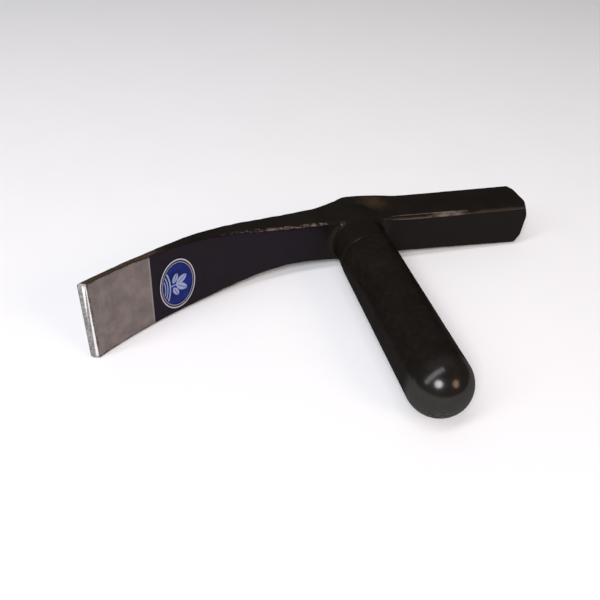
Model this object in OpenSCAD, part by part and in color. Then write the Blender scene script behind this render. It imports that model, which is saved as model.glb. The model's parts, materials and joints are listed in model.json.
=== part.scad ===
// Forged grub hoe with a square poll and a short gripped handle, lying on its side.
// Millimetres. Origin: the middle of the grip, on the handle's axis, where the hand closes.
// X runs along the head (poll at +X, blade at -X), the handle points along -Y away from the
// head, and Z is the direction of the blade's width. The tool mirrors about the plane Z = 0.
// The shapes are drawn about the eye, where the handle's axis crosses the head's mid-plane,
// and from_eye() moves them to the grip's frame.

/* [Poll] */
// From the handle's axis to the striking face
poll_reach = 126; // [90:1:160]
// Half of the square bar across its flats at its waist
bar_half = 14.9; // [13.5:0.1:18]
// How much that half grows by the striking face
bar_flare = 1.0; // [0:0.1:2]
// Width cut from each long edge, measured along a flat
bar_chamfer = 2.8; // [1:0.1:5]
// Width cut from each corner of the striking face
corner_cut = 8.6; // [4:0.2:10]
// How far back each corner's cut runs
corner_depth = 3; // [1:0.5:8]

/* [Eye] */
// How much the bar swells around the eye
eye_swell = 0.9; // [0:0.1:2]
// Radius of the round boss on the back of the eye
boss_r = 14.8; // [14.8:0.1:15.6]
// How far the boss stands behind the bar
boss_proud = 0.4; // [0.2:0.1:2]
// Radius of the collar that holds the handle
collar_r = 18.1; // [16:0.1:18.2]
// From the middle of the eye to the collar's mouth
collar_reach = 36.7; // [28:0.1:45]
// Radius of the fillet between the collar and the head's front face
collar_fillet = 3.5; // [2:0.5:8]

/* [Blade] */
// From the handle's axis to the front of the blade's ground bevel, along X
blade_reach = 170.4; // [140:0.2:210]
// How far that line stands in front of the middle of the eye, along Y
blade_drop = 70.4; // [50:0.2:85]
// Slope of the blade at its cutting edge, in degrees
edge_slope = 37.7; // [25:0.1:45]
// Half of the blade's width at its neck
neck_half_w = 15.2; // [13:0.1:17]
// Half of the blade's width where it stops spreading quickly
spread_half_w = 24.4; // [18:0.1:30]
// Half of the blade's width at the cutting edge
edge_half_w = 26.6; // [20:0.1:34]
// Thickness of the blade behind its ground bevel
edge_t = 3.9; // [2.5:0.1:6]
// How far the ground bevel runs forward to the cutting edge
bevel_l = 3.0; // [0.8:0.1:4]

/* [Handle] */
// Outer radius of the steel tube
tube_r = 11.1; // [9:0.1:12]
// Wall of the steel tube
tube_wall = 3; // [2:0.1:4]
// Radial gap that the tube has in the collar and the grip
tube_gap = 0.05; // [0.02:0.01:0.1]
// Outer radius of the grip
grip_r = 18.3; // [16:0.1:20]
// From the middle of the eye to the tip of the grip's dome
grip_reach = 164.7; // [130:0.1:200]
// Radius of the round on the grip's rim
rim_round = 1.2; // [0.5:0.1:2]

/* [Label] */
// Length of the oval, across the blade
label_l = 37; // [24:0.5:42]
// Height of the oval, along the blade
label_h = 24.5; // [20:0.5:34]
// Thickness of the foil
label_t = 0.25; // [0.15:0.05:0.4]
// Where its middle is, as a share of the blade's front curve from the eye to the edge
label_at = 0.66; // [0.55:0.01:0.7]
// How far its middle is from the blade's middle line, towards the blade's lower side
label_drop = 2.6; // [0:0.1:4]

/* [Hidden] */
$fn = 96;
far = 400;

steel_black = [0.08, 0.07, 0.075];
bare_steel = [0.55, 0.53, 0.5];
grip_black = [0.05, 0.05, 0.05];
plug_grey = [0.2, 0.2, 0.2];
label_blue = [0.13, 0.2, 0.5];

// Shape functions of the head
waist_x = 40;
swell_x = 5;
eye_back_x = 4;
neck_x = -30;
neck_back_y = 3.8;
spread_from = 38;
spread_to = 125;

function ease(t) = let(c = min(1, max(0, t))) c * c * (3 - 2 * c);

// Half of the bar across its flats at x, with its swell at the eye and flare to the face
function bar_at(x) = x > waist_x
    ? bar_half + bar_flare * (x - waist_x) / (poll_reach - waist_x)
    : bar_half + eye_swell * ease((waist_x - x) / (waist_x - swell_x));

// Half of the blade's width at x, which also meets the swell of the eye
function width_at(x) =
    neck_half_w + (bar_at(0) - neck_half_w) * ease((x - neck_x) / (eye_back_x - neck_x))
    + (spread_half_w - neck_half_w) * ease((-x - spread_from) / (spread_to - spread_from))
    + (edge_half_w - spread_half_w) * max(0, (-x - spread_to) / (blade_reach - spread_to));

function bezier(p, t) =
    pow(1 - t, 3) * p[0] + 3 * t * pow(1 - t, 2) * p[1]
    + 3 * t * t * (1 - t) * p[2] + pow(t, 3) * p[3];
function slope(p, t) =
    3 * pow(1 - t, 2) * (p[1] - p[0]) + 6 * t * (1 - t) * (p[2] - p[1]) + 3 * t * t * (p[3] - p[2]);
function curve(p, steps) = [for (i = [0:steps]) bezier(p, i / steps)];

along = [cos(edge_slope), sin(edge_slope)];
across = [-sin(edge_slope), cos(edge_slope)];
front_tip = [-blade_reach, -blade_drop];
edge_tip = front_tip + edge_t * across - bevel_l * along;
front_y = -bar_at(neck_x);

front_curve = [[-25, front_y], [-72, front_y], front_tip + 56.4 * along, front_tip];
back_curve = [[neck_x, neck_back_y], [neck_x - 44, neck_back_y - 7], edge_tip + 54 * along, edge_tip];
shoulder_curve = [
    [eye_back_x, bar_at(0)], [eye_back_x - 9, bar_at(0)],
    [neck_x + 12, neck_back_y + 3], [neck_x, neck_back_y]
];

// Unit vector out of the blade's front face
function outward(t) = let(d = slope(front_curve, t)) [-d[1], d[0]] / norm(d);

// Handle stations along its axis
tube_top = 14.8;
tube_end = grip_reach - 14.5;
plug_flange = 3;
weld_seat = 3;
eye_back = bar_at(0) + boss_proud;
dome_centre = grip_reach - grip_r;
grip_start = collar_reach + 0.1;
grip_middle = (collar_reach + dome_centre) / 2;
tube_inner = tube_r - tube_wall;
bore_r = tube_r + tube_gap;

module from_eye() {
    translate([0, grip_middle, 0]) children();
}

// A body turned about the handle's axis, from [radius, distance along the handle] points
module turned(points) {
    rotate([90, 0, 0]) rotate_extrude() polygon(points);
}

// Stations along the bar, from the swell of the eye to the striking face
bar_xs = concat([for (i = [0:7]) swell_x + i * (waist_x - swell_x) / 7], [poll_reach]);

// The head seen from its side: blade, shoulder behind the eye, and poll
module side_outline() {
    steps = 28;
    last = len(bar_xs) - 1;
    polygon(concat(
        [for (i = [last:-1:0]) [bar_xs[i], -bar_at(bar_xs[i])]],
        curve(front_curve, steps),
        [for (i = [steps:-1:0]) bezier(back_curve, i / steps)],
        [for (i = [9:-1:0]) bezier(shoulder_curve, i / 10)],
        [for (x = bar_xs) [x, bar_at(x)]]
    ));
}

// The head seen from the front: its width from the cutting edge to the striking face
module width_outline() {
    blade_end = blade_reach + edge_t + bevel_l;
    xs = concat(
        [for (i = [0:36]) -blade_end + i * (blade_end + eye_back_x) / 36],
        [for (x = bar_xs) x]
    );
    halves = [for (x = xs) x < swell_x ? width_at(x) : bar_at(x)];
    last = len(xs) - 1;
    polygon(concat(
        [for (i = [0:last]) [xs[i], halves[i]]],
        [for (i = [last:-1:0]) [xs[i], -halves[i]]]
    ));
}

// Two slopes at 45 degrees that take off the poll's long edges, with a run-out at the eye
module chamfer_outline() {
    trim = bar_chamfer / sqrt(2);
    stop_x = 12;
    xs = [24, waist_x + 6, poll_reach + 1];
    outer = concat(
        [[-far, far], [stop_x, far], [stop_x, sqrt(2) * bar_at(stop_x) + 0.2]],
        [for (x = xs) [x, sqrt(2) * bar_at(x) - trim]]
    );
    last = len(outer) - 1;
    polygon(concat(outer, [for (i = [last:-1:0]) [outer[i][0], -outer[i][1]]]));
}

module slab() {
    linear_extrude(2 * far, center = true) children();
}

// One forging: what its outlines share, less the corners of the striking face
module forging() {
    face_diagonal = (2 * bar_at(poll_reach) - bar_chamfer) / sqrt(2);
    corner_in = (corner_cut - bar_chamfer) / sqrt(2);
    difference() {
        intersection() {
            slab() side_outline();
            rotate([90, 0, 0]) slab() width_outline();
            rotate([45, 0, 0]) slab() chamfer_outline();
            rotate([-45, 0, 0]) slab() chamfer_outline();
        }
        for (a = [45:90:315]) rotate([a, 0, 0]) slab() polygon([
            [poll_reach - corner_depth, face_diagonal],
            [poll_reach + corner_depth, face_diagonal - 2 * corner_in],
            [poll_reach + corner_depth, face_diagonal + corner_in]
        ]);
    }
}

// The round boss behind the eye, with a small chamfer around its back
module boss() {
    rim = 0.5;
    turned([[0, 0], [boss_r, 0], [boss_r, rim - eye_back], [boss_r - rim, -eye_back], [0, -eye_back]]);
}

// The collar around the handle, its fillet on the front face and its shoulder on the eye
module collar() {
    face = bar_at(0);
    turned([
        [0, -10], [collar_r - 3.2, -5], [collar_r - 0.4, 1.5], [collar_r - 0.4, collar_reach - 8],
        [collar_r, collar_reach - 3], [collar_r, collar_reach - 0.8],
        [collar_r - 0.8, collar_reach], [0, collar_reach]
    ]);
    intersection() {
        turned(concat(
            [[0, face - 1], [collar_r + collar_fillet, face - 1]],
            [for (a = [0:10:80])
                [collar_r - 0.4 + collar_fillet * (1 - sin(a)), face + collar_fillet * (1 - cos(a))]],
            [[collar_r - 1.4, face + collar_fillet + 1], [0, face + collar_fillet + 1]]
        ));
        cube([far, far, 2 * (face - bar_chamfer / 2)], center = true);
    }
}

module head() {
    color(steel_black) from_eye() difference() {
        union() {
            forging();
            boss();
            collar();
        }
        turned([[0, -far], [bore_r, -far], [bore_r, far], [0, far]]);
        turned([
            [0, -eye_back - weld_seat], [bore_r + 2 * weld_seat, -eye_back - weld_seat],
            [bore_r, weld_seat - eye_back], [0, weld_seat - eye_back]
        ]);
    }
}

module handle_tube() {
    color(bare_steel) from_eye() turned([
        [tube_inner, -tube_top], [tube_r, -tube_top], [tube_r, tube_end], [tube_inner, tube_end]
    ]);
}

// Steel plug driven into the tube's end in the eye, which swells the tube against the head
module eye_plug() {
    plug_l = 12;
    lead = 1.5;
    color(bare_steel) from_eye() turned([
        [0, -tube_top - 0.8], [tube_inner - 2.5, -tube_top - 0.6], [tube_inner, 0.4 - tube_top],
        [tube_inner, plug_l - tube_top - lead], [tube_inner - lead, plug_l - tube_top],
        [0, plug_l - tube_top]
    ]);
}

// Ring of weld between the tube's end and its seat in the back of the eye
module eye_weld() {
    color(steel_black) from_eye() turned([
        [bore_r, weld_seat - eye_back], [bore_r + weld_seat, -eye_back],
        [bore_r + 2.2, -eye_back - 0.7], [bore_r + 0.8, -eye_back - 0.9],
        [tube_r - 0.9, -eye_back - 0.4], [tube_r - 1.4, -tube_top], [bore_r, -tube_top]
    ]);
}

// Moulded sleeve with a rounded rim and a closed, domed end
module grip() {
    rim_in = 0.3 * rim_round;
    color(grip_black) from_eye() difference() {
        union() {
            turned([
                [0, grip_start], [grip_r - rim_round, grip_start],
                [grip_r - rim_in, grip_start + rim_in], [grip_r, grip_start + rim_round],
                [grip_r, dome_centre], [0, dome_centre]
            ]);
            translate([0, -dome_centre, 0]) sphere(grip_r);
        }
        turned([[0, 0], [bore_r, 0], [bore_r, tube_end + plug_flange], [0, tube_end + plug_flange]]);
    }
}

// Plug that closes the tube, so that its end can't cut through the inside of the dome
module tube_end_plug() {
    shank = 14;
    lead = 1;
    color(plug_grey) from_eye() turned([
        [0, tube_end - shank], [tube_inner - lead, tube_end - shank],
        [tube_inner, tube_end - shank + lead], [tube_inner, tube_end], [tube_r, tube_end],
        [tube_r, tube_end + plug_flange - lead / 2], [tube_r - lead / 2, tube_end + plug_flange],
        [0, tube_end + plug_flange]
    ]);
}

// Oval foil bent to the blade's front face, with gap left under it for its glue
module label() {
    gap = 0.03;
    steps = 36;
    stations = [for (i = [0:steps]) 0.35 + 0.45 * i / steps];
    lean = slope(front_curve, label_at);
    color(label_blue) from_eye() intersection() {
        linear_extrude(2 * far, center = true) polygon(concat(
            [for (t = stations) bezier(front_curve, t) + gap * outward(t)],
            [for (i = [steps:-1:0]) bezier(front_curve, stations[i]) + (gap + label_t) * outward(stations[i])]
        ));
        translate(concat(bezier(front_curve, label_at), -label_drop))
            rotate([0, 0, atan2(lean[1], lean[0])]) rotate([90, 0, 0])
                linear_extrude(far, center = true)
                    polygon([for (a = [0:6:354]) [label_h / 2 * cos(a), label_l / 2 * sin(a)]]);
    }
}

head();
handle_tube();
eye_plug();
eye_weld();
grip();
tube_end_plug();
label();
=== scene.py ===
import json
import math

import bmesh
import bpy
from mathutils import Matrix, Vector, noise


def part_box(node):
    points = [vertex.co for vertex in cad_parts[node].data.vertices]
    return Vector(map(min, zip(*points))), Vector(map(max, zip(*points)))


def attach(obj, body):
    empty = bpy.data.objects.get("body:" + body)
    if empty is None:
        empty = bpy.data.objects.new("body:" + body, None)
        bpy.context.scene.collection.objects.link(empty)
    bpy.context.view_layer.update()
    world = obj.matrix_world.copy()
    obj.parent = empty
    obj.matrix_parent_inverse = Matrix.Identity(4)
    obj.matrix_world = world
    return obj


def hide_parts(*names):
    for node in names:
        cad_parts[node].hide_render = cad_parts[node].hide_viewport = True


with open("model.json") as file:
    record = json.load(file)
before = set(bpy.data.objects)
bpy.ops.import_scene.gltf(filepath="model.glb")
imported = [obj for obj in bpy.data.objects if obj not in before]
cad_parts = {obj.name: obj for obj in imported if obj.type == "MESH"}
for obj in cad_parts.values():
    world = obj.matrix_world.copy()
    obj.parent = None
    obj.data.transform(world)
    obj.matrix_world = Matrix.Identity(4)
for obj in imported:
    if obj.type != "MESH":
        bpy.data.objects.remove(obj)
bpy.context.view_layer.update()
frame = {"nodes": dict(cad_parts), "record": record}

mm = 0.001
mounts = {mount["name"]: mount for mount in frame["record"]["mounts"]}
eyeY = mounts["poll_face"]["pos_m"][1] / mm    # middle of the eye along Y, in millimetres
headLow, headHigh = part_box("head")
gripLow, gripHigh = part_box("grip")
weldLow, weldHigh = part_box("eye_weld")
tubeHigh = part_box("handle_tube")[1]
gripRadius = mounts["grip"]["dims"]["r_mm"]
fromEye = Matrix.Translation((0, eyeY * mm, 0)) @ Matrix.Scale(mm, 4)    # eye frame in mm to the row frame


# Shape functions. They are in millimetres about the eye, with the poll at +X and the handle at -Y.

head = {
    "pollReach": headHigh.x / mm,
    "barHalf": 14.9,          # half of the bar across its flats at the waist
    "barFlare": 1.0,          # growth of that half by the striking face
    "eyeSwell": 0.9,
    "waistX": 40.0,
    "swellX": 5.0,
    "eyeBackX": 4.0,
    "neckX": -30.0,
    "neckBackY": 3.8,
    "neckHalfW": 15.2,
    "spreadHalfW": 24.4,
    "edgeHalfW": headHigh.z / mm - 0.16,
    "spreadFrom": 38.0,
    "spreadTo": 125.0,
    "bladeReach": 170.4,
    "bladeDrop": 70.4,
    "edgeSlope": math.radians(37.7),
    "edgeThick": 3.9,
    "bevelRun": 3.0,
    "frontStart": 25.0,       # where the blade's front curve leaves the eye, and its two pulls
    "frontPull": 47.0,
    "frontTipPull": 56.4,
    "backPull": (44.0, 7.0),  # the same for the back curve, from the neck
    "backTipPull": 54.0,
    "shoulderPull": 9.0,      # and for the shoulder between the eye and the neck
    "neckPull": (12.0, 3.0),
    "bossRadius": 14.8,       # round boss behind the eye
    "bossProud": 0.4,
    "bossRound": 0.5,
    "collarRadius": 17.7,
    "collarLip": 0.4,         # the collar's mouth is this much wider
    "collarReach": eyeY - gripHigh.y / mm - 0.1,
    "collarJoin": 12.7,       # the blend with the bar meets the collar's wall this far from its mouth
    "mouthRound": 0.8,
    "boreRadius": 11.15,
    "seatDepth": 3.0,
    "cornerDepth": 3.0,       # the striking face's corners are cut back this far
    "cornerCut": 8.6,
    "chamfer": 2.8,
    "roundEdge": 2.3,         # round along the edges of the eye and the neck
    "tipCorner": 0.5,         # round of the blade's front edges by the cutting edge
    "tipBackCorner": 1.7,
    "tipRound": 0.3,
    "faceRound": 0.7,         # round between the bar and the striking face
    "frontPatch": 23.5,       # how far along the bar the blends around the collar and the boss reach
    "backPatch": 21.0,
    "frontShare": 0.62,       # and how far round onto its sides
    "backShare": 0.25,
    "filletReach": 4.0,       # size of the blend between collar and bar
    "unevenness": 0.22,       # depth of the forging's shallow waves
}


def ease(t):
    t = min(1.0, max(0.0, t))
    return t * t * (3 - 2 * t)


def mix(a, b, t):
    return a + (b - a) * t


def barAt(x):
    if x > head["waistX"]:
        flare = (x - head["waistX"]) / (head["pollReach"] - head["waistX"])
        return head["barHalf"] + head["barFlare"] * flare
    return head["barHalf"] + head["eyeSwell"] * ease((head["waistX"] - x) / (head["waistX"] - head["swellX"]))


def halfWidthAt(x):
    if x > head["swellX"]:
        return barAt(x)
    neck = mix(head["neckHalfW"], barAt(0), ease((x - head["neckX"]) / (head["eyeBackX"] - head["neckX"])))
    spread = ease((-x - head["spreadFrom"]) / (head["spreadTo"] - head["spreadFrom"]))
    tail = max(0.0, (-x - head["spreadTo"]) / (head["bladeReach"] - head["spreadTo"]))
    return (neck + (head["spreadHalfW"] - head["neckHalfW"]) * spread
            + (head["edgeHalfW"] - head["spreadHalfW"]) * tail)


along = Vector((math.cos(head["edgeSlope"]), math.sin(head["edgeSlope"])))
across = Vector((-along.y, along.x))
frontTip = Vector((-head["bladeReach"], -head["bladeDrop"]))
edgeTip = frontTip + head["edgeThick"] * across - head["bevelRun"] * along
frontY = -barAt(head["neckX"])
neckBack = Vector((head["neckX"], head["neckBackY"]))
frontCurve = [
    Vector((-head["frontStart"], frontY)), Vector((-head["frontStart"] - head["frontPull"], frontY)),
    frontTip + head["frontTipPull"] * along, frontTip,
]
backCurve = [neckBack, neckBack - Vector(head["backPull"]), edgeTip + head["backTipPull"] * along, edgeTip]
shoulderCurve = [
    Vector((head["eyeBackX"], barAt(0))), Vector((head["eyeBackX"] - head["shoulderPull"], barAt(0))),
    neckBack + Vector(head["neckPull"]), neckBack,
]


def bezier(p, t):
    u = 1 - t
    return u ** 3 * p[0] + 3 * t * u * u * p[1] + 3 * t * t * u * p[2] + t ** 3 * p[3]


def slope(p, t):
    u = 1 - t
    return 3 * u * u * (p[1] - p[0]) + 6 * t * u * (p[2] - p[1]) + 3 * t * t * (p[3] - p[2])


# Mesh helpers

def finished(name, bm, replaced, material, smoothAngle=40):
    bmesh.ops.recalc_face_normals(bm, faces=bm.faces)
    mesh = bpy.data.meshes.new(name)
    bm.to_mesh(mesh)
    bm.free()
    for face in mesh.polygons:
        face.use_smooth = True
    mesh.set_sharp_from_angle(angle=math.radians(smoothAngle))
    piece = bpy.data.objects.new(name, mesh)
    bpy.context.scene.collection.objects.link(piece)
    mesh.materials.append(material)
    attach(piece, "root")
    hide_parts(replaced)
    print("made", name, len(mesh.vertices), "vertices")


# A loop's next ring, in the same order as the ring it was extruded from
def nextRing(bm, ring):
    count = len(ring)
    edges = [bm.edges.get((ring[i], ring[(i + 1) % count])) for i in range(count)]
    made = bmesh.ops.extrude_edge_only(bm, edges=edges)["geom"]
    fresh = {item for item in made if isinstance(item, bmesh.types.BMVert)}
    return [next(e.other_vert(v) for e in v.link_edges if e.other_vert(v) in fresh) for v in ring]


# Head

# Once round a section: a run along each of its four sides, front first, and the corner after it
def ringPlan(faceRuns=26, sideRuns=14, cornerRuns=7):
    plan = []
    for side in range(4):
        runs = sideRuns if side % 2 else faceRuns
        plan += [("run", side, i / runs) for i in range(runs)]
        plan += [("corner", side, i / cornerRuns) for i in range(cornerRuns)]
    return plan


sectionPlan = ringPlan()
sideSteps = [Vector((0, 1)), Vector((1, 0)), Vector((0, -1)), Vector((-1, 0))]    # (depth, z)


# corners holds the rounding of the section's four corners, from the front one at +Z
def sectionPoints(front, back, corners, power, inset=0.0):
    thick = (back - front).length - 2 * inset
    middle = halfWidthAt((front.x + back.x) / 2)
    half = middle - inset
    ends = [Vector((0, half)), Vector((thick, half)), Vector((thick, -half)), Vector((0, -half))]
    inward = (back - front).normalized() * inset
    points = []
    for kind, side, share in sectionPlan:
        step, turn, end, corner = sideSteps[side], sideSteps[(side + 1) % 4], ends[side], corners[side]
        if kind == "run":
            start = ends[side - 1] + step * corners[side - 1]
            spot = start.lerp(end - step * corner, share)
        else:
            angle = share * math.pi / 2
            spot = (end - step * corner * (1 - math.sin(angle) ** (2 / power))
                    + turn * corner * (1 - math.cos(angle) ** (2 / power)))
        place = (front + inward).lerp(back - inward, spot.x / thick)
        points.append(Vector((place.x, place.y, spot.y * halfWidthAt(place.x) / middle)))
    return points


def barSection(x, corner, power, inset=0.0):
    return Vector((x, -barAt(x))), Vector((x, barAt(x))), [corner] * 4, power, inset


# Every section from the cutting edge to the striking face, as (front, back, corners, power, inset)
def headSections():
    sections = []
    rounding, full = head["tipRound"], head["roundEdge"]
    small, large = head["tipCorner"], head["tipBackCorner"]
    for i in range(3):
        lost = rounding * (1 - math.sin(math.pi / 2 * i / 3))
        ahead = (rounding - lost) * along
        sections.append((frontTip + ahead, edgeTip + ahead, [small, large, large, small], 2, lost))
    bladeSteps = 84
    for i in range(1, bladeSteps + 1):
        t = 1 - i / bladeSteps
        front, back = bezier(frontCurve, t), bezier(backCurve, t)
        ragged = 1 + 0.3 * noise.noise(front.to_3d() / 5)
        share = ease((1 - t) / 0.75)
        near, far = mix(small, full, share) * ragged, mix(large, full, share) * ragged
        sections.append((front, back, [near, far, far, near], 2, 0))
    shoulderSteps = 20
    for i in range(1, shoulderSteps + 1):
        u = 1 - i / shoulderSteps
        front = Vector((mix(head["eyeBackX"], frontCurve[0].x, u), frontY))
        sections.append((front, bezier(shoulderCurve, u), [full] * 4, 2, 0))
    lastX = head["pollReach"] - head["cornerDepth"]
    barSteps = 62
    barStations = [mix(head["eyeBackX"], head["swellX"], i / 2) for i in range(1, 3)]
    barStations += [mix(head["swellX"], lastX, i / barSteps) for i in range(1, barSteps + 1)]
    for x in barStations:
        share = ease((x - 18) / 20)
        corner = mix(full, head["chamfer"], share) * (1 + 0.08 * noise.noise(Vector((x / 7, 3, 0))))
        sections.append(barSection(x, corner, mix(2, 1.3, share)))
    cutSteps = 4
    rounding = head["faceRound"]
    for i in range(1, cutSteps + 1):
        x = mix(lastX, head["pollReach"] - rounding, i / cutSteps)
        corner = mix(head["chamfer"], head["cornerCut"], (x - lastX) / head["cornerDepth"])
        sections.append(barSection(x, corner, 1.25))
    for i in range(1, 5):
        angle = math.pi / 2 * i / 4
        x = head["pollReach"] - rounding * (1 - math.sin(angle))
        sections.append(barSection(x, head["cornerCut"], 1.25, rounding * (1 - math.cos(angle))))
    x = head["pollReach"]
    for inset in (2.5, 6.0, 10.0):
        sections.append(barSection(x, head["cornerCut"] * (1 - inset / barAt(x)), 1.25, inset))
    return sections


def backAt(x):
    if x > head["eyeBackX"]:
        return barAt(x)
    low, high = 0.0, 1.0
    for _ in range(14):
        t = (low + high) / 2
        if bezier(shoulderCurve, t).x > x:
            low = t
        else:
            high = t
    return bezier(shoulderCurve, t).y


def barDistance(p):
    corner = head["roundEdge"]
    y = (p.y - backAt(p.x) if p.y > 0 else -p.y - barAt(p.x)) + corner
    z = abs(p.z) - halfWidthAt(p.x) + corner
    return math.hypot(max(y, 0), max(z, 0)) + min(max(y, z), 0) - corner


def lipAt(y):
    return head["collarLip"] * ease((8 - y - head["collarReach"]) / 6)


def collarDistance(p):
    sink = max(0.0, p.y + 5)
    return math.hypot(p.x, p.z) - head["collarRadius"] - lipAt(p.y) + sink * sink / 38


def bossDistance(p):
    rounding = head["bossRound"]
    side = math.hypot(p.x, p.z) - head["bossRadius"] + rounding
    back = p.y - barAt(0) - head["bossProud"] + rounding
    return math.hypot(max(side, 0), max(back, 0)) + min(max(side, back), 0) - rounding


def blended(a, b, reach):
    near = max(reach - abs(a - b), 0) / reach
    return min(a, b) - near * near * reach / 4


def eyeDistance(p):
    if p.y > 4:
        return blended(barDistance(p), bossDistance(p), 0.6)
    return blended(barDistance(p), collarDistance(p), mix(2.2, head["filletReach"], ease((-p.y - 8) / 8)))


def onEye(p):
    step = 0.02
    for _ in range(4):
        value = eyeDistance(p)
        pull = Vector([
            (eyeDistance(p + Vector(axis) * step) - eyeDistance(p - Vector(axis) * step)) / (2 * step)
            for axis in ((1, 0, 0), (0, 1, 0), (0, 0, 1))
        ])
        p = p - pull * value / max(pull.length_squared, 0.2)
    return p


def openPatch(bm, rows, firstRow, lastRow, firstSpot, lastSpot):
    inside = {rows[i][j] for i in range(firstRow, lastRow + 1) for j in range(firstSpot, lastSpot + 1)}
    faces = [f for f in bm.faces if all(v in inside for v in f.verts)]
    border = [rows[firstRow][j] for j in range(firstSpot, lastSpot)]
    border += [rows[i][lastSpot] for i in range(firstRow, lastRow)]
    border += [rows[lastRow][j] for j in range(lastSpot, firstSpot, -1)]
    border += [rows[i][firstSpot] for i in range(lastRow, firstRow, -1)]
    bmesh.ops.delete(bm, geom=faces, context="FACES")
    return border


# Rows from the border of an opening to a ring about the handle's axis, laid on the eye's blended surface
def blendedRows(bm, border, radius, ringY, count, turnSign):
    total = [0.0]
    for i in range(len(border)):
        total.append(total[-1] + (border[(i + 1) % len(border)].co - border[i].co).length)
    firstAngle = math.atan2(border[0].co.z, border[0].co.x)
    targets = []
    for i in range(len(border)):
        angle = firstAngle + turnSign * math.tau * total[i] / total[-1]
        targets.append(Vector((radius * math.cos(angle), ringY, radius * math.sin(angle))))
    origins = [v.co.copy() for v in border]
    edgeRound, faceSide = bm.verts.layers.float["edgeRound"], bm.verts.layers.float["faceSide"]
    ring, loose = border, []
    for k in range(1, count + 1):
        ring = nextRing(bm, ring)
        for v, a, b in zip(ring, origins, targets):
            v.co = onEye(a.lerp(b, k / count)) if k < count else b
            v[edgeRound] = 0.0
            v[faceSide] = 0.3
        if k < count:
            loose += ring
    for _ in range(14):
        bmesh.ops.smooth_vert(bm, verts=loose, factor=0.5, use_axis_x=True, use_axis_y=True, use_axis_z=True)
        for v in loose:
            v.co = onEye(v.co)
    return ring, targets


def turnOf(border):
    area = sum(a.co.x * b.co.z - b.co.x * a.co.z for a, b in zip(border, border[1:] + border[:1]))
    return 1 if area > 0 else -1


faceSides = [0.0, 0.5, 1.0, 0.5, 0.0]    # the front, a side, the back, the other side


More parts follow.
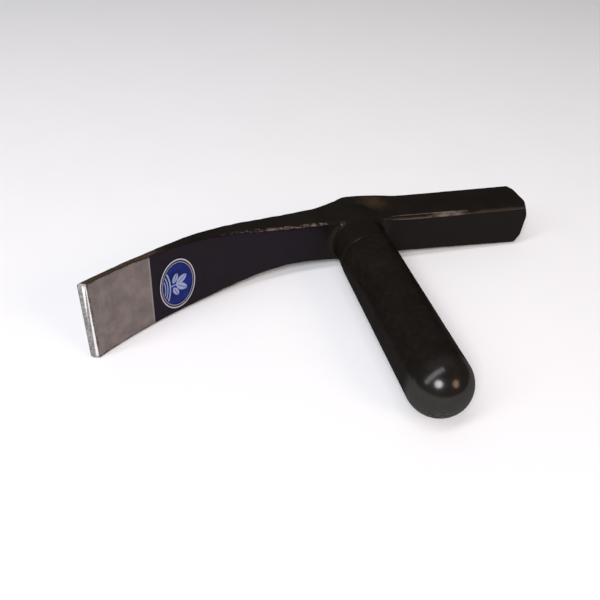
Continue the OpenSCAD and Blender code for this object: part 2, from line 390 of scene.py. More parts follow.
def buildHead():
    bm = bmesh.new()
    edgeRound = bm.verts.layers.float.new("edgeRound")
    faceSide = bm.verts.layers.float.new("faceSide")
    edgeRun = bm.verts.layers.float.new("edgeRun")
    sideGap = bm.verts.layers.float.new("sideGap")
    sections = headSections()
    ring = list(bmesh.ops.create_circle(bm, cap_ends=False, segments=len(sectionPlan), radius=1)["verts"])
    rows, run, last = [], 0.0, None
    for section in sections:
        if rows:
            ring = nextRing(bm, ring)
        middle = (section[0] + section[1]) / 2
        run += (middle - last).length if last else 0
        last = middle
        for v, spot, (kind, side, share) in zip(ring, sectionPoints(*section), sectionPlan):
            v.co = spot
            v[edgeRun] = run
            v[edgeRound] = math.sin(share * math.pi) if kind == "corner" else 0.0
            v[faceSide] = mix(faceSides[side], faceSides[side + 1], share if kind == "corner" else 0)
            v[sideGap] = halfWidthAt(spot.x) - abs(spot.z)
        rows.append(ring)
    for ring in (rows[0], rows[-1]):
        bmesh.ops.contextual_create(bm, geom=ring)

    # The collar grows out of the front of the eye
    cornerRuns = sum(1 for kind, side, share in sectionPlan if kind == "corner" and side == 0)
    faceRuns = sum(1 for kind, side, share in sectionPlan if kind == "run" and side == 0)
    sideRuns = sum(1 for kind, side, share in sectionPlan if kind == "run" and side == 1)
    spots = [i for i, section in enumerate(sections) if abs(section[0].x) < head["frontPatch"]]
    reachBack = int(sideRuns * head["frontShare"])
    shift = reachBack + cornerRuns
    rolled = [row[-shift:] + row[:-shift] for row in rows]
    border = openPatch(bm, rolled, spots[0], spots[-1], 0, 2 * shift + faceRuns)
    reach, mouth = head["collarReach"], head["mouthRound"]
    joinY = head["collarJoin"] - reach
    ring, targets = blendedRows(bm, border, head["collarRadius"], joinY, 16, turnOf(border))

    # Collar, its mouth, the bore through the head and the weld's seat
    wallY = [mix(joinY - 2, mouth - reach, i / 6) for i in range(7)]
    profile = [(head["collarRadius"] + lipAt(y), y) for y in wallY]
    for i in range(1, 5):
        angle = math.pi / 2 * i / 4
        profile.append((head["collarRadius"] + head["collarLip"] - mouth * (1 - math.cos(angle)),
                        -reach + mouth * (1 - math.sin(angle))))
    backY = barAt(0) + head["bossProud"]
    profile += [(14, -reach), (head["boreRadius"], -reach)]
    profile += [(head["boreRadius"], y) for y in (-24, -12, 0, backY - head["seatDepth"])]
    profile += [(head["boreRadius"] + head["seatDepth"], backY)]
    for radius, y in profile:
        ring = nextRing(bm, ring)
        for v, b in zip(ring, targets):
            heading = Vector((b.x, 0, b.z)).normalized()
            v.co = Vector((heading.x * radius, y, heading.z * radius))
            v[edgeRound] = 0.0
            v[faceSide] = 0.3

    # The boss rises from the back of the eye to the weld's seat
    backSpots = [i for i, section in enumerate(sections) if abs(section[1].x) < head["backPatch"]]
    sideReach = int(sideRuns * head["backShare"])
    backStart = faceRuns + cornerRuns + sideRuns - sideReach
    backWide = 2 * sideReach + 2 * cornerRuns + faceRuns
    backBorder = openPatch(bm, rows, backSpots[0], backSpots[-1], backStart, backStart + backWide)
    bossTop = head["bossRadius"] - head["bossRound"]
    backRing = blendedRows(bm, backBorder, bossTop, backY, 14, turnOf(backBorder))[0]
    loopEdges = []
    for loop in (ring, backRing):
        loopEdges += [bm.edges.get((loop[i], loop[(i + 1) % len(loop)])) for i in range(len(loop))]
    bmesh.ops.bridge_loops(bm, edges=loopEdges)

    # Shallow waves left by the hammer, which only take metal off
    bmesh.ops.recalc_face_normals(bm, faces=bm.faces)
    bm.normal_update()
    shifts = {}
    for v in bm.verts:
        inBore = math.hypot(v.co.x, v.co.z) < 15 and v.co.y < backY and v[faceSide] == 0.3
        if inBore or v.co.x > head["pollReach"] - 0.01:
            continue
        calm = ease((v[edgeRun] - 2) / 10)
        wave = 0.5 + 0.5 * noise.noise(v.co / 17) + 0.25 * noise.noise(v.co / 7)
        shifts[v] = v.normal * -head["unevenness"] * min(max(wave, 0), 1) * calm
    for v, shift in shifts.items():
        v.co += shift
    bmesh.ops.transform(bm, matrix=fromEye, verts=bm.verts)
    return bm


# Finishes

class Field:
    def __init__(self, tree, socket):
        self.tree = tree
        self.socket = socket

    def math(self, operation, other=0.0, swapped=False):
        node = self.tree.nodes.new("ShaderNodeMath")
        node.operation = operation
        pair = (other, self) if swapped else (self, other)
        for slot, value in zip(node.inputs, pair):
            if isinstance(value, Field):
                self.tree.links.new(value.socket, slot)
            else:
                slot.default_value = value
        return Field(self.tree, node.outputs[0])

    def __add__(self, other):
        return self.math("ADD", other)

    def __sub__(self, other):
        return self.math("SUBTRACT", other)

    def __mul__(self, other):
        return self.math("MULTIPLY", other)

    def __truediv__(self, other):
        return self.math("DIVIDE", other)

    def __rsub__(self, other):
        return self.math("SUBTRACT", other, swapped=True)

    __radd__ = __add__
    __rmul__ = __mul__


class Finish:
    def __init__(self, name, **constants):
        self.material = bpy.data.materials.new(name)
        self.material.use_nodes = True
        self.tree = self.material.node_tree
        self.shader = self.tree.nodes["Principled BSDF"]
        for socket, value in constants.items():
            self.shader.inputs[socket.replace("_", " ")].default_value = value
        self.place = self.node("ShaderNodeTexCoord", output="Object")

    def split(self, vector):
        node = self.node("ShaderNodeSeparateXYZ", {}, {"Vector": vector}).socket.node
        return [Field(self.tree, output) for output in node.outputs]

    def join(self, x, y, z):
        return self.node("ShaderNodeCombineXYZ", {}, {"X": x, "Y": y, "Z": z})

    def node(self, kind, settings=None, inputs=None, output=0):
        node = self.tree.nodes.new(kind)
        for key, value in (settings or {}).items():
            setattr(node, key, value)
        for key, value in (inputs or {}).items():
            if isinstance(value, Field):
                self.tree.links.new(value.socket, node.inputs[key])
            else:
                node.inputs[key].default_value = value
        return Field(self.tree, node.outputs[output])

    def feed(self, **fields):
        for socket, field in fields.items():
            self.tree.links.new(field.socket, self.shader.inputs[socket.replace("_", " ")])

    def attribute(self, name):
        return self.node("ShaderNodeAttribute", {"attribute_name": name}, output="Fac")

    # Object coordinates in millimetres, moved and turned so that a pattern sits on its piece
    def spot(self, centre=(0, 0, 0), turn=(0, 0, 0), stretch=(1, 1, 1)):
        return self.node("ShaderNodeMapping", {"vector_type": "POINT"}, {
            "Vector": self.place, "Location": centre, "Rotation": turn, "Scale": [s / mm for s in stretch]})

    def noise(self, size, detail=3.0, rough=0.55, stretch=(1, 1, 1), place=None):
        place = place or self.spot(stretch=stretch)
        return self.node("ShaderNodeTexNoise", {}, {
            "Vector": place, "Scale": 1 / size, "Detail": detail, "Roughness": rough}, "Fac")

    def step(self, field, low, high):
        return self.node("ShaderNodeMapRange", {"interpolation_type": "SMOOTHSTEP"}, {
            "Value": field, "From Min": low, "From Max": high, "To Min": 0.0, "To Max": 1.0})

    def blend(self, mask, first, second):
        return self.node("ShaderNodeMix", {"data_type": "RGBA", "clamp_factor": True}, {
            0: mask, 6: first, 7: second}, 2)

    def bump(self, height, distance, under=None):
        inputs = {"Height": height, "Distance": distance * mm, "Strength": 1.0}
        if under:
            inputs["Normal"] = under
        return self.node("ShaderNodeBump", {}, inputs)


def rgb(*linear):
    return (*linear, 1.0)


lacquer = {
    "black": rgb(0.0072, 0.0058, 0.0048),
    # plum tint, a painted sheen on the blade's front face
    "plum": rgb(0.0088, 0.0052, 0.0098),
    "umber": rgb(0.0105, 0.0082, 0.006),
    "groundSteel": rgb(0.24, 0.2, 0.187),
    "groundDark": rgb(0.15, 0.125, 0.118),
    "burr": rgb(0.055, 0.045, 0.04),
    "lip": rgb(0.42, 0.38, 0.36),
    # near white: the floor's reflection in the polished band, painted
    "edgeBright": rgb(0.8, 0.79, 0.78),
    "edgeDull": rgb(0.13, 0.125, 0.12),
    "edgeWorn": rgb(0.33, 0.32, 0.31),
    "bareEdge": rgb(0.068, 0.048, 0.039),
    "rust": rgb(0.05, 0.03, 0.018),
    # pale colour for real chips, and for the painted highlights on the poll's chamfer and the blade's crease
    "worn": rgb(0.22, 0.17, 0.15),
    "gloss": 0.045,           # share of the glossy coat over the black
    "groundRun": 39.9,        # length of the ground band on the blade's front
    "edgeRun": 50.4,          # length of the bare steel on the blade's sides
    "edgeBand": 1.9,          # width of the polished band on the cutting edge's end face
}


def lacqueredForging():
    f = Finish("lacqueredForging", Specular_IOR_Level=0.0, Coat_IOR=2.5, Coat_Roughness=0.2)
    run, side, rounded = f.attribute("edgeRun"), f.attribute("faceSide"), f.attribute("edgeRound")
    sideGap = f.attribute("sideGap")
    x, y, z = f.split(f.spot())
    broad, middling, fine, specks = f.noise(22), f.noise(5, 4), f.noise(0.9, 4, 0.6), f.noise(2.1, 5, 0.7)
    blade = 1 - f.step(x, -60, -8)
    front = 1 - f.step(side, 0.12, 0.2)
    litUpperEdges = f.step(z, 3, 8) * (1 - f.step(side, 0.45, 0.5))

    # Black lacquer, with a plum tint on the blade's face that is a painted sheen, and umber in broad patches
    # off the front face
    colour = f.blend(blade * front * f.step(broad, 0.2, 0.5), lacquer["black"], lacquer["plum"])
    colour = f.blend((1 - front) * f.step(broad, 0.3, 0.65), colour, lacquer["umber"])
    patch = f.node("ShaderNodeVectorMath", {"operation": "LENGTH"}, {
        0: f.spot(centre=(-16, -eyeY - 6, -17))}, "Value")
    rusty = (1 - f.step(patch + middling * 12, 8, 20)) * 0.6
    colour = f.blend(rusty, colour, lacquer["rust"])

    # Painted highlights along the upper edges: the lamp's reflection, in two lines along the poll's chamfer
    # as far as its middle and then one, and painted glints on the lumpy lacquer of the blade's crease. Real
    # chips on every corner share their pale colour
    streaky = f.noise(1.0, 4, 0.62, place=f.join(x * 0.16, y * 0.9, z * 0.9))
    twin = f.step(rounded, 0.3, 0.5) * (1 - f.step(rounded, 0.62, 0.85)) * f.step(x, 17, 26)
    single = f.step(rounded, 0.4, 0.7) * f.step(x, 46, 62) * 1.6
    pollStreakGlint = litUpperEdges * (twin + single) * (1 - f.step(x + middling * 10, 76, 84)) * f.step(streaky, 0.25, 0.6)
    pollTailGlint = litUpperEdges * f.step(rounded, 0.75, 0.95) * f.step(x, 84, 92) * (streaky * 0.12)
    lumps = f.step(specks * 0.6 + streaky * 0.5, 0.5, 0.68)
    creaseGlints = litUpperEdges * f.step(rounded, 0.4, 0.8) * lumps * f.step(x, -105, -45) * (1 - f.step(x, -9, -3)) * 0.85
    chipped = f.step(rounded * 0.5 + streaky * 0.55, 0.82, 0.95) * 0.5
    # The pale colour goes on real chips and on the painted highlights of the poll and the crease
    worn = (pollStreakGlint * 0.42).math("MAXIMUM", creaseGlints).math("MAXIMUM", chipped).math("MAXIMUM", pollTailGlint)
    colour = f.blend(worn, colour, lacquer["worn"])

    # Ground steel on the blade's face, and bare steel along its sides
    edgeLine = lacquer["groundRun"] + z * 0.006
    ground = front * (1 - f.step(run - edgeLine, -0.2, 0.2))
    scratch = f.noise(1.0, 4, 0.65, place=f.join(run * 1.5, side * 40, z * 0.04))
    hairlines = f.noise(1.0, 3, 0.6, place=f.join(run * 5.0, side * 40, z * 0.09))
    grain = scratch * 0.3 + hairlines * 0.25 + f.noise(9, 4) * 0.65
    steel = f.blend(f.step(grain, 0.4, 0.8), lacquer["groundDark"], lacquer["groundSteel"])
    lip = f.step(run - edgeLine, -1.3, -0.3) * 0.45
    steel = f.blend(lip, steel, lacquer["lip"])
    burr = 1 - f.step(sideGap + (middling - 0.5) * 5 + (fine - 0.5) * 1.5, 0.5, 1.3)
    seam = (1 - f.step(run, 1.0, 1.5)) * f.step(specks * 0.6 + middling * 0.5, 0.5, 0.62)
    nicks = f.step(specks, 0.7, 0.76) * (1 - f.step(sideGap, 2, 5))
    steel = f.blend(burr.math("MAXIMUM", nicks).math("MAXIMUM", seam) * 0.8, steel, lacquer["burr"])
    walls = f.step(side, 0.22, 0.4) * (1 - f.step(side, 0.6, 0.78))
    bare = walls * (1 - f.step(run + (middling - 0.5) * 26, lacquer["edgeRun"] - 6, lacquer["edgeRun"] + 3))
    bareColour = f.blend(f.step(middling * 0.7 + fine * 0.3, 0.4, 0.62), lacquer["bareEdge"], lacquer["rust"])
    colour = f.blend(bare, colour, bareColour)
    heel = f.step(side, 0.8, 0.9) * (1 - f.step(run + (middling - 0.5) * 5 + (fine - 0.5) * 2, 1.2, 2.6))
    colour = f.blend(heel * 0.9, colour, lacquer["groundDark"])
    colour = f.blend(ground, colour, steel)

    # The cutting edge's end face: a polished band by the front, painted near white as the floor's reflection
    # in it, dull and pitted behind it
    depth = (x - frontTip.x) * across.x + (y - frontTip.y - eyeY) * across.y
    end = 1 - f.step(run, 0.32, 0.5)
    taper = f.step(sideGap, 0.3, 3.0)
    band = lacquer["edgeBand"]
    polishedReflection = 1 - f.step(depth + (middling - 0.5) * 0.9, band * 0.94, band * 1.06)
    polishedReflection = polishedReflection * taper * f.step(depth + (fine - 0.5) * 0.5, 0.05, 0.25)
    dull = f.blend(f.step(fine * 0.6 + specks * 0.5, 0.42, 0.66), lacquer["edgeDull"], lacquer["edgeWorn"])
    endColour = f.blend(polishedReflection, dull, lacquer["edgeBright"])
    endColour = f.blend(1 - f.step(depth, 0.0, 0.14), endColour, lacquer["burr"])
    colour = f.blend(end, colour, endColour)

    bareMetal = (ground * 0.8).math("MAXIMUM", heel * 0.7)
    bareMetal = bareMetal.math("MAXIMUM", bare * 0.35).math("MAXIMUM", end * 0.3)
    metal = (worn * 0.7).math("MAXIMUM", bareMetal)
    painted = 1 - bareMetal.math("MAXIMUM", f.step(metal, 0.1, 0.5))
    roughness = (0.5 + middling * 0.16 + fine * 0.06) * painted + (0.34 + grain * 0.2) * (1 - painted)
    height = middling * 0.5 + fine * 0.12 + f.noise(2.4, 5, 0.65) * 0.28
    normal = f.bump(height * painted, 0.22)
    normal = f.bump(lumps * creaseGlints, 0.3, normal)
    normal = f.bump((scratch + hairlines * 0.5) * ground + specks * end * 2, 0.014, normal)
    coat = painted * (blade * 0.4 + 0.8) * (1.25 - middling * 0.5) * lacquer["gloss"]
    f.feed(Base_Color=colour, Metallic=metal, Roughness=roughness, Normal=normal, Coat_Weight=coat)
    return f.material


# Grip

grip = {
    "radius": gripRadius,
    "rimRound": 1.2,
    "rimY": gripHigh.y / mm,
    "tipY": gripLow.y / mm,
    "wave": 0.12,             # soft unevenness of the dipped surface
    "colour": rgb(0.0072, 0.0056, 0.0044),
    "worn": rgb(0.0125, 0.0105, 0.009),
    "scuff": rgb(0.1, 0.095, 0.085),
    "gloss": 0.18,            # share of the glossy coat on the dome
    "handled": 0.03,          # and on the length that the hand has dulled
}


def dippedVinyl():
    f = Finish("dippedVinyl", Specular_IOR_Level=0.0, Coat_IOR=2.5, Coat_Roughness=0.2)
    _, y, z = f.split(f.spot())
    broad, mottled, fine = f.noise(16, 3), f.noise(3.2, 4, 0.6), f.noise(0.5, 3)
    domeY = grip["tipY"] + grip["radius"]
    dome = 1 - f.step(y + (broad - 0.5) * 5, domeY - 3, domeY + 5)
    colour = f.blend(f.step(mottled * 0.6 + broad * 0.5, 0.4, 0.8), grip["colour"], grip["worn"])
    rubbed = f.step(mottled * 0.5 + broad * 0.6, 0.45, 0.75)
    streaks = f.noise(1.0, 3, 0.6, place=f.spot(stretch=(0.7, 0.06, 0.7)))
    # Fine scuffs, mostly under the dome
    threads = f.noise(1.0, 2, 0.5, place=f.spot(turn=(0.5, 0.3, 0.9), stretch=(0.12, 1.5, 1.5)))
    scuffs = f.step(threads, 0.52, 0.57) * f.step(mottled, 0.35, 0.6) * (1 - f.step(z, -9, 1)) * dome
    colour = f.blend(scuffs * 0.7, colour, grip["scuff"])
    under = 1 - f.step(z, -15, 1)
    coat = dome * (grip["gloss"] - grip["handled"]) + grip["handled"]
    coat = coat * (1 - rubbed * 0.25) * (1 - scuffs * 0.4)
    coat = coat * (1 - under * 0.4) * (1.1 - streaks * 0.2)
    normal = f.bump(mottled * 0.5 + fine * 0.05, 0.07)
    roughness = 0.5 + rubbed * 0.14 + (streaks - 0.5) * 0.1
    f.feed(Base_Color=colour, Roughness=roughness, Coat_Weight=coat, Normal=normal)
    return f.material


def turnedProfile(points, steps):
    bm = bmesh.new()
    verts = [bm.verts.new((radius, y, 0)) for radius, y in points]
    for a, b in zip(verts, verts[1:]):
        bm.edges.new((a, b))
    bmesh.ops.spin(bm, geom=bm.verts[:] + bm.edges[:], cent=(0, 0, 0), axis=(0, 1, 0), dvec=(0, 0, 0),
                   angle=math.tau, steps=steps, use_merge=True, use_duplicate=False)
    bmesh.ops.remove_doubles(bm, verts=bm.verts, dist=0.001)
    bmesh.ops.recalc_face_normals(bm, faces=bm.faces)
    return bm


def buildGrip():
    radius, rim, rimRound = grip["radius"], grip["rimY"], grip["rimRound"]
    dome = grip["tipY"] + radius
    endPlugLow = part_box("tube_end_plug")[0].y / mm
    inner = tubeHigh.x / mm + 0.05
    points = [(0, endPlugLow), (inner * 0.5, endPlugLow), (inner, endPlugLow)]
    points += [(inner, mix(endPlugLow, rim, i / 12)) for i in range(1, 12)]
    points += [(inner, rim - 0.5), (inner + 0.5, rim)]
    points += [(mix(inner + 0.5, radius - rimRound, i / 3), rim) for i in range(1, 3)]
    for i in range(6):
        angle = math.pi / 2 * i / 5
        points.append((radius - rimRound * (1 - math.sin(angle)), rim - rimRound * (1 - math.cos(angle))))
    wallSteps = 46
    points += [(radius, mix(rim - rimRound, dome, i / wallSteps)) for i in range(1, wallSteps)]
    domeSteps = 26
    for i in range(domeSteps + 1):
        angle = math.pi / 2 * i / domeSteps
        points.append((radius * math.cos(angle), dome - radius * math.sin(angle)))
    bm = turnedProfile(points, 112)
    bm.normal_update()
    for v in bm.verts:
        if math.hypot(v.co.x, v.co.z) > inner + 1 or v.co.y < endPlugLow - 1:
            ripple = noise.noise(Vector((v.co.x / 5, v.co.y / 9, v.co.z / 5)))
            wave = 0.5 + 0.5 * noise.noise(v.co / 14) + 0.3 * ripple
            v.co -= v.normal * grip["wave"] * min(max(wave, 0), 1)
    bmesh.ops.scale(bm, vec=(mm, mm, mm), verts=bm.verts)
    return bm


# Label

label = {
    "length": 37.0,           # across the blade
    "height": 24.5,           # along the blade
    "drop": 2.6,              # from the blade's middle line to the label's, towards -Z
    "thickness": 0.25,
    "gap": 0.03,
    "at": 0.66,               # share of the blade's front curve, from the eye
    "rings": 14,
    "spokes": 96,
    "blue": rgb(0.008, 0.018, 0.19),
    "deepBlue": rgb(0.004, 0.008, 0.06),
    "silver": rgb(0.52, 0.48, 0.48),
    "leaf": rgb(0.28, 0.33, 0.5),
    "leaves": ((2.5, 9.0, 2.3, 1.0, 0.0), (2.0, 7.5, 1.7, 3.0, 1.5)),    # turn, length, width, base
    "furrows": ((8.9, 0.8), (7.2, 0.6), (5.7, 0.5)),                     # radius, width
}
labelMiddle = bezier(frontCurve, label["at"])
labelLean = slope(frontCurve, label["at"]).normalized()


def onBladeFront(s, z, lift):
    t = label["at"]
    for _ in range(6):
        error = (bezier(frontCurve, t) - labelMiddle).dot(labelLean) - s
        t -= error / slope(frontCurve, t).dot(labelLean)
    lean = slope(frontCurve, t).normalized()
    place = bezier(frontCurve, t) + Vector((-lean.y, lean.x)) * lift
    return Vector((place.x, place.y, z))


def buildLabel():
    bm = bmesh.new()
    ring = list(bmesh.ops.create_circle(bm, cap_ends=False, segments=label["spokes"], radius=1)["verts"])
    flat = {v: v.co.copy() for v in ring}
    rimPlaces = [v.co.copy() for v in ring]
    for i in range(1, label["rings"]):
        ring = nextRing(bm, ring)
        for v, rimPlace in zip(ring, rimPlaces):
            flat[v] = rimPlace * (1 - i / label["rings"])
    bmesh.ops.contextual_create(bm, geom=ring)
    for v, place in flat.items():
        s, z = place.x * label["height"] / 2, place.y * label["length"] / 2
        v.co = onBladeFront(s, z - label["drop"], label["gap"])
    bmesh.ops.recalc_face_normals(bm, faces=bm.faces)
    if sum(f.normal.y for f in bm.faces) > 0:
        bmesh.ops.reverse_faces(bm, faces=bm.faces)
    bmesh.ops.solidify(bm, geom=bm.faces[:], thickness=-label["thickness"])
    bmesh.ops.transform(bm, matrix=fromEye, verts=bm.verts)
    return bm


# The print is a seedling over ploughed furrows, with its stem along the blade
def printedFoil():
    f = Finish("printedFoil", Specular_IOR_Level=0.05, Coat_Roughness=0.12, Coat_IOR=1.5)
    centre = Vector((labelMiddle.x, labelMiddle.y + eyeY, -label["drop"]))
    lean = math.atan2(labelLean.y, labelLean.x)
    shifted = f.node("ShaderNodeVectorMath", {"operation": "SUBTRACT"}, {0: f.spot(), 1: centre})
    s, _, z = f.split(f.node("ShaderNodeVectorRotate", {"rotation_type": "Z_AXIS"}, {
        "Vector": shifted, "Angle": -lean}))
    fine, cloudy = f.noise(0.35, 3), f.noise(6, 3)

    def length(a, b):
        return (a * a + b * b).math("SQRT")

    def line(field, middle, width):
        return 1 - f.step((field - middle).math("ABSOLUTE"), width / 2 - 0.12, width / 2 + 0.12)

    # One leaf is what two circles share
    def leafShape(tipTurn, reach, width, baseS, baseZ):
        c, n = math.cos(tipTurn), math.sin(tipTurn)
        u = (s - baseS) * c + (z - baseZ) * n - reach / 2
        w = (z - baseZ) * c - (s - baseS) * n
        bow = (reach * reach / 4 - width * width) / (2 * width)
        radius = math.hypot(reach / 2, bow)
        outside = length(u, w + bow).math("MAXIMUM", length(u, w - bow))
        body = 1 - f.step(outside, radius - 0.12, radius + 0.12)
        vein = 1 - f.step(w.math("ABSOLUTE"), 0.1, 0.32)
        return body * (1 - vein * f.step(u + reach / 2, 1.2, 1.6))

    oval = length(s / (label["height"] / 2), z / (label["length"] / 2))
    inside = 1 - f.step(oval, 0.78, 0.8)
    rim = f.step(oval, 0.925, 0.94) * (1 - f.step(oval, 0.975, 0.985))
    ring = f.step(oval, 0.835, 0.845) * (1 - f.step(oval, 0.865, 0.875)) * 0.55
    motif = line(z, 0, 0.8) * f.step(s, -2, -1) * (1 - f.step(s, 4.6, 5.0))
    for tipTurn, reach, width, baseS, baseZ in label["leaves"]:
        for side in (1, -1):
            leaf = leafShape(tipTurn * side, reach, width, baseS, baseZ * side)
            motif = motif.math("MAXIMUM", leaf)
    mound = length(s - 14.0, z * 0.55)
    for radius, width in label["furrows"]:
        motif = motif.math("MAXIMUM", line(mound, radius, width) * inside)
    rubbed = f.step(f.noise(1.6, 5, 0.7) + f.noise(9, 2) * 0.5, 0.98, 1.08)

    colour = f.blend(f.step(cloudy, 0.3, 0.7) * inside, label["deepBlue"], label["blue"])
    colour = f.blend(motif, colour, label["leaf"])
    colour = f.blend(rim.math("MAXIMUM", ring), colour, label["silver"])
    colour = f.blend(rubbed * 0.3, colour, label["silver"])
    f.feed(Base_Color=colour, Metallic=rim * 0.4 + motif * 0.1, Roughness=0.3 + fine * 0.12 + rubbed * 0.15,
           Coat_Weight=0.06 - rubbed * 0.05, Normal=f.bump(fine * 0.2 + motif * 0.5 + rim * 0.7, 0.05))
    return f.material


# Weld around the tube's end at the back of the eye

weld = {
    "ripples": 30,
    "ripple": 0.28,
    "crown": 0.9,             # rise of the bead over its edges
    "steps": 240,
}


def buildWeld():
    outer, inner, crown = weldHigh.x / mm, tubeHigh.x / mm, weld["crown"]
    back, low = weldHigh.y / mm - crown, weldLow.y / mm
    floor = inner - 1.4
    points = [(inner, low), (inner + 0.1, back - 3.0), (outer - 0.15, back - 0.1)]
    for i in range(9):
        share = i / 8
        rise = crown * math.sin(math.pi * share) ** 0.6 * (1 - 0.3 * share)
        points.append((mix(outer - 0.1, inner - 0.9, share), back + rise))
    points += [(floor, low + 0.4), (floor, low), (inner, low)]
    bm = turnedProfile(points, weld["steps"])
    for v in bm.verts:
        if v.co.y > back + 0.05:
            bow = 2.2 * math.cos((math.hypot(v.co.x, v.co.z) - inner) / 3 * math.pi)
            curl = math.atan2(v.co.z, v.co.x) * weld["ripples"] + bow + 0.8 * noise.noise(v.co / 4)
            v.co.y -= weld["ripple"] * (0.5 + 0.5 * math.cos(curl)) * min(1, (v.co.y - back) / 0.5)
    bmesh.ops.scale(bm, vec=(mm, mm, mm), verts=bm.verts)
    return bm


# A plain metal or plastic finish with cloudy colour, roughness and a fine bump
def plainFinish(name, dark, light, metal, rough, size, depth, stretch=(1, 1, 1), gloss=0.0):
    f = Finish(name, Metallic=metal, Specular_IOR_Level=0.2, Coat_Roughness=0.2, Coat_IOR=2.5)
    cloudy, fine = f.noise(size, 4), f.noise(size / 6, 4, 0.6, stretch=stretch)
    scuffed = f.step(f.noise(size / 2, 5, 0.7), 0.5, 0.7)
    colour = f.blend(f.step(cloudy * 0.7 + fine * 0.4, 0.35, 0.75), dark, light)
    f.feed(Base_Color=colour, Roughness=rough + fine * 0.12 + scuffed * 0.08,
           Coat_Weight=gloss - scuffed * gloss * 0.5, Normal=f.bump(cloudy * 0.6 + fine * 0.3, depth))
    return f.material


def refinish(nodeName, material):
    mesh = frame["nodes"][nodeName].data
    mesh.materials.clear()
    mesh.materials.append(material)
    print("finished", nodeName)


innerPieces = {
    "thickLacquer": rgb(0.0072, 0.006, 0.0055),
    "thinLacquer": rgb(0.016, 0.0125, 0.0105),
    "tubeDark": rgb(0.012, 0.0095, 0.008),
    "tubeLight": rgb(0.055, 0.045, 0.038),
    "plugDark": rgb(0.02, 0.02, 0.02),
    "plugLight": rgb(0.035, 0.034, 0.034),
    "drawn": (6, 0.3, 6),     # stretch of the tube's fine streaks
}
thick, thin = innerPieces["thickLacquer"], innerPieces["thinLacquer"]
paintedWeld = plainFinish("lacqueredWeld", thick, thin, 0.1, 0.4, 3, 0.12, gloss=0.05)
paintedPlug = plainFinish("lacqueredPlug", thick, thin, 0.1, 0.4, 4, 0.15, gloss=0.05)
drawnSteel = plainFinish("drawnSteel", innerPieces["tubeDark"], innerPieces["tubeLight"], 0.4, 0.34, 5, 0.02,
                         innerPieces["drawn"], 0.03)
mouldedPlug = plainFinish("mouldedPlug", innerPieces["plugDark"], innerPieces["plugLight"], 0.0, 0.5, 3, 0.04)

finished("headForging", buildHead(), "head", lacqueredForging())
finished("gripSleeve", buildGrip(), "grip", dippedVinyl())
finished("labelFoil", buildLabel(), "label", printedFoil())
finished("weldBead", buildWeld(), "eye_weld", paintedWeld, 60)
refinish("eye_plug", paintedPlug)
refinish("handle_tube", drawnSteel)
refinish("tube_end_plug", mouldedPlug)


# Stage, lights and camera

stage = {
    "floorGap": 0.4,
    "floorSize": 6.0,
    "lightDistance": 2.0,
    "keyPower": 38.0,
    "keySize": (0.85, 0.85),
    "keyTowards": Vector((-0.432, -0.621, 0.654)),
    "stripPower": 21.0,
    "stripSize": (0.5, 3.0),
    "stripTowards": Vector((-0.525, -0.11, 0.844)),
    "lampPower": 9.0,
    "lampSize": (0.75, 0.75),
    "lampTowards": Vector((0.49, -0.66, 0.56)),
    "fillPower": 7.0,
    "fillSize": (3.4, 3.4),
    "fillTowards": Vector((0.05, 0.75, 0.66)),
    "keyColour": (0.96, 0.95, 1.0),
    "stripColour": (0.94, 0.96, 1.0),
    "lampColour": (1.0, 0.68, 0.48),
    "fillColour": (1.0, 0.98, 0.95),
    "worldStrength": 0.1,
    "worldColour": rgb(0.95, 0.96, 1.0),
    "floorDull": rgb(0.87, 0.87, 0.87),
    "floorPale": rgb(0.9, 0.9, 0.9),
}


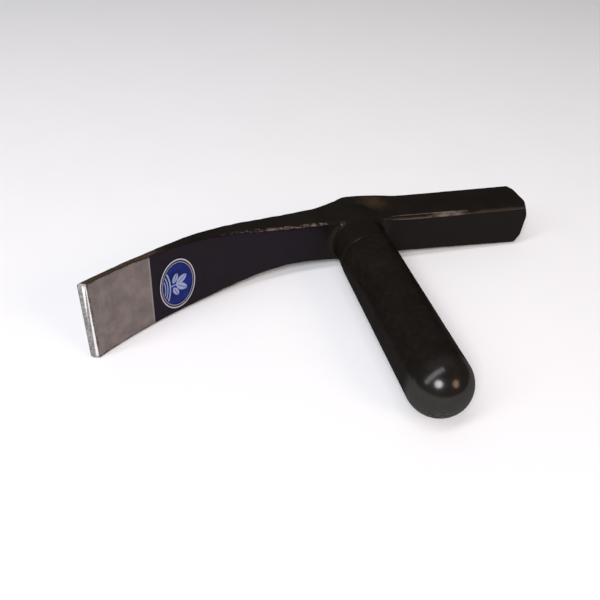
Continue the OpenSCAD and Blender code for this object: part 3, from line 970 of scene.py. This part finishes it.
# The tool rests on the blade's lower corner, the poll's lower edge and the grip
def buildFloor():
    half = barAt(head["pollReach"])
    blade = Vector((-head["bladeReach"] * mm, (eyeY - head["bladeDrop"]) * mm, headLow.z))
    pollEdge = Vector((head["pollReach"] * mm, (eyeY - half + head["cornerCut"]) * mm, -half * mm))
    gripUnder = Vector((0, gripLow.y + gripRadius * mm, -gripRadius * mm))
    up = (gripUnder - blade).cross(pollEdge - blade).normalized()
    up = up if up.z > 0 else -up
    bm = bmesh.new()
    bmesh.ops.create_grid(bm, x_segments=12, y_segments=12, size=stage["floorSize"] / 2)
    turn = Vector((0, 0, 1)).rotation_difference(up).to_matrix().to_4x4()
    place = Matrix.Translation(gripUnder - up * stage["floorGap"] * mm)
    bmesh.ops.transform(bm, matrix=place @ turn, verts=bm.verts)
    mesh = bpy.data.meshes.new("floor")
    bm.to_mesh(mesh)
    bm.free()
    floor = bpy.data.objects.new("floor", mesh)
    bpy.context.scene.collection.objects.link(floor)
    f = Finish("paleFloor", Specular_IOR_Level=0.1)
    pale = f.blend(f.noise(60, 3), stage["floorDull"], stage["floorPale"])
    f.feed(Base_Color=pale, Roughness=0.8 + f.noise(9) * 0.1)
    mesh.materials.append(f.material)


def addLight(name, shape):
    light = bpy.data.lights.new(name, "AREA")
    light.energy, light.color = stage[name + "Power"], stage[name + "Colour"]
    light.shape = shape
    light.size, light.size_y = stage[name + "Size"]
    lamp = bpy.data.objects.new(name, light)
    heading = stage[name + "Towards"].normalized()
    lamp.location = Vector((0, gripLow.y, 0)) + heading * stage["lightDistance"]
    lamp.rotation_mode = "QUATERNION"
    lamp.rotation_quaternion = heading.to_track_quat("Z", "Y")
    bpy.context.scene.collection.objects.link(lamp)


camera = {
    "azimuth": math.radians(-17.96),
    "elevation": math.radians(39.84),
    "roll": math.radians(5.47),
    "distance": 425.11,       # from the middle of the eye, along the line of sight
    "lens": 37.0,
    "right": -35.11,          # the eye's place across and up in the camera's view, at that distance
    "up": 50.41,
}


def buildCamera():
    azimuth, elevation = camera["azimuth"], camera["elevation"]
    level = math.cos(elevation)
    back = Vector((math.sin(azimuth) * level, -math.cos(azimuth) * level, math.sin(elevation)))
    flatRight = (-back).cross(Vector((0, 0, 1))).normalized()
    turn = Matrix.Rotation(camera["roll"], 3, back)
    right, up = turn @ flatRight, turn @ back.cross(flatRight)
    place = right * camera["right"] - up * camera["up"] + back * camera["distance"]
    data = bpy.data.cameras.new("camera")
    data.lens = camera["lens"]
    data.sensor_width = 36
    data.clip_start = 0.01
    view = bpy.data.objects.new("camera", data)
    view.matrix_world = Matrix.Translation(fromEye @ place) @ Matrix((right, up, back)).transposed().to_4x4()
    bpy.context.scene.collection.objects.link(view)
    bpy.context.scene.camera = view


buildFloor()
for name, shape in (("key", "DISK"), ("strip", "RECTANGLE"), ("lamp", "DISK"), ("fill", "SQUARE")):
    addLight(name, shape)
world = bpy.data.worlds.new("paleWorld")
world.use_nodes = True
background = world.node_tree.nodes["Background"]
background.inputs["Color"].default_value = stage["worldColour"]
background.inputs["Strength"].default_value = stage["worldStrength"]
bpy.context.scene.world = world
bpy.context.scene.view_settings.view_transform = "Standard"
buildCamera()
print("stage ready")
